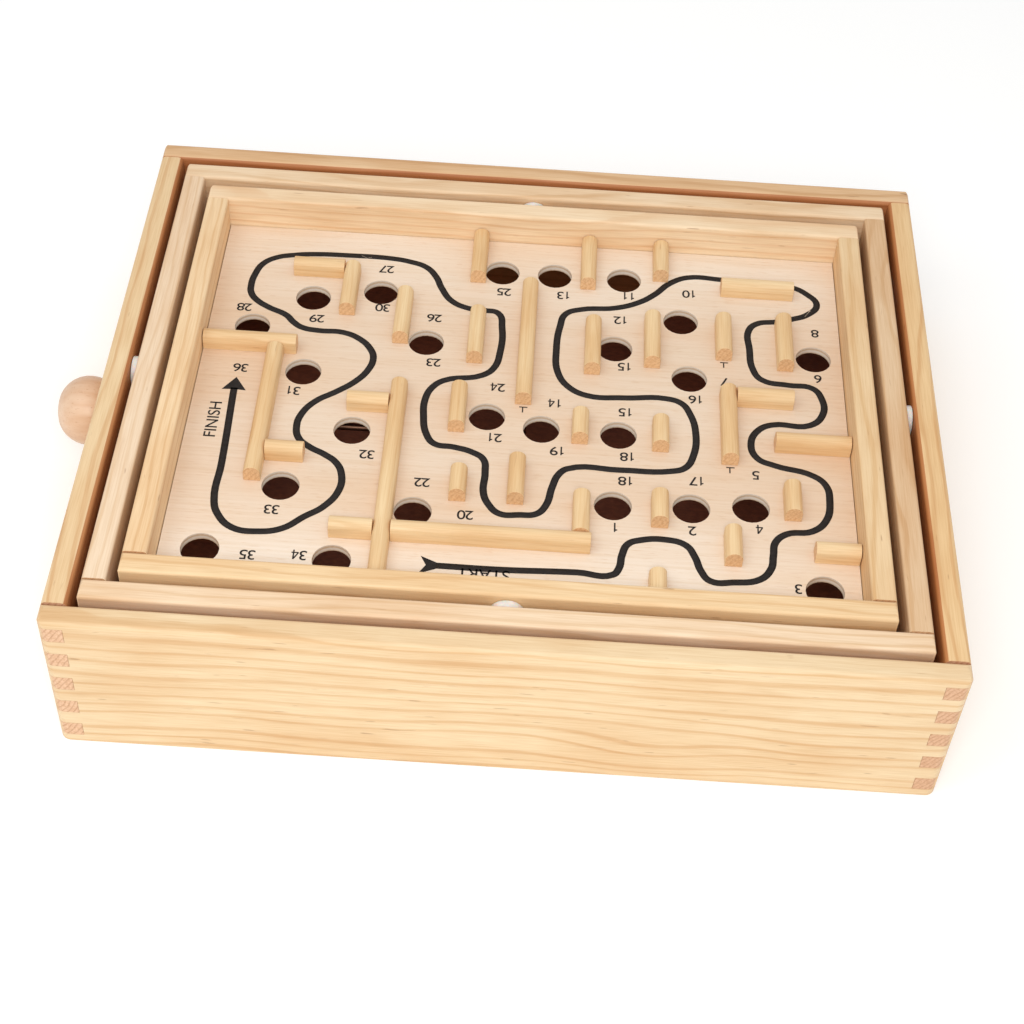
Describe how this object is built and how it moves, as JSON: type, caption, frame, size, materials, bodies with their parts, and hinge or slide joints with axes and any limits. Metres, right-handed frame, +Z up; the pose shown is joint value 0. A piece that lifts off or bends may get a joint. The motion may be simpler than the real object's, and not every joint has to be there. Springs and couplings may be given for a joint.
{
  "type": "tilt maze game",
  "caption": "Wooden tilt maze: a case with two nested gimbal frames, a board with ball holes and wall strips, and side knobs whose strings tilt the frames.",
  "frame": {"origin": "middle of the case's underside", "axes": "+Z up, +X along the long walls towards the side knob, +Y from the player's side to the back wall"},
  "size_m": [0.3208, 0.2648, 0.065],
  "materials": {
    "case_long_wall": "satin",
    "case_side_wall": "satin",
    "gimbal_rails": "satin",
    "maze_rails": "satin",
    "board": "satin",
    "strips": "satin",
    "knobs": "satin",
    "hardboard": "matte",
    "cleat": "matte",
    "nylon": "satin",
    "shafts": "satin",
    "steel": "satin",
    "ball": "polished",
    "string": "matte"
  },
  "bodies": {
    "case": {"case_front_wall": "case_long_wall", "case_back_wall": "case_long_wall", "case_left_wall": "case_side_wall", "case_right_wall": "case_side_wall", "base_panel": "hardboard", "return_ramp": "hardboard", "ramp_cleat": "cleat", "shaft_post": "cleat", "gimbal_left_pin": "nylon", "gimbal_right_pin": "nylon"},
    "gimbal": {"gimbal_front_rail": "gimbal_rails", "gimbal_back_rail": "gimbal_rails", "gimbal_left_rail": "gimbal_rails", "gimbal_right_rail": "gimbal_rails", "gimbal_front_eye": "steel", "gimbal_back_eye": "steel", "maze_front_pin": "nylon", "maze_back_pin": "nylon", "gimbal_string": "string", "gimbal_tension_spring": "steel"},
    "maze": {"maze_board": "board", "maze_front_rail": "maze_rails", "maze_back_rail": "maze_rails", "maze_left_rail": "maze_rails", "maze_right_rail": "maze_rails", "maze_left_eye": "steel", "maze_right_eye": "steel", "maze_string": "string", "maze_tension_spring": "steel", "strip_hook": "strips", "strip_a": "strips", "strip_b": "strips", "strip_c": "strips", "strip_d": "strips", "strip_e": "strips", "strip_f": "strips", "strip_g": "strips", "strip_h": "strips", "strip_i": "strips", "strip_j": "strips", "strip_k": "strips", "strip_branch": "strips", "strip_tree": "strips", "strip_l": "strips", "strip_m": "strips", "strip_n": "strips", "strip_o": "strips", "strip_p": "strips", "strip_corner": "strips", "strip_q": "strips", "strip_r": "strips", "strip_s": "strips", "strip_t": "strips", "strip_u": "strips", "strip_v": "strips"},
    "side_drive": {"side_knob": "knobs", "side_shaft": "shafts"},
    "front_drive": {"front_knob": "knobs", "front_shaft": "shafts"},
    "ball": {"steel_ball": "ball"}
  },
  "joints": [
    {"name": "gimbal_tilt", "type": "hinge", "parent": "case", "child": "gimbal", "pos_m": [0, 0, 0.057], "axis": [1, 0, 0], "range_deg": [-5, 5], "deforming": ["gimbal_string", "gimbal_tension_spring"]},
    {"name": "maze_tilt", "type": "hinge", "parent": "gimbal", "child": "maze", "pos_m": [0, 0, 0.057], "axis": [0, 1, 0], "range_deg": [-4, 4], "deforming": ["maze_string", "maze_tension_spring"]},
    {"name": "side_knob_turn", "type": "hinge", "parent": "case", "child": "side_drive", "pos_m": [0.15, 0, 0.035], "axis": [1, 0, 0], "range_deg": [-160, 160]},
    {"name": "front_knob_turn", "type": "hinge", "parent": "case", "child": "front_drive", "pos_m": [0, -0.122, 0.028], "axis": [0, 1, 0], "range_deg": [-160, 160]},
    {"name": "ball_lift_out", "type": "slide", "parent": "case", "child": "ball", "axis": [0, -0.9903, 0.1392], "range_m": [0, 0.028]}
  ],
  "couplings": [
    {"joint": "side_knob_turn", "follows": "gimbal_tilt", "ratio": -30.625},
    {"joint": "front_knob_turn", "follows": "maze_tilt", "ratio": -38.719}
  ]
}
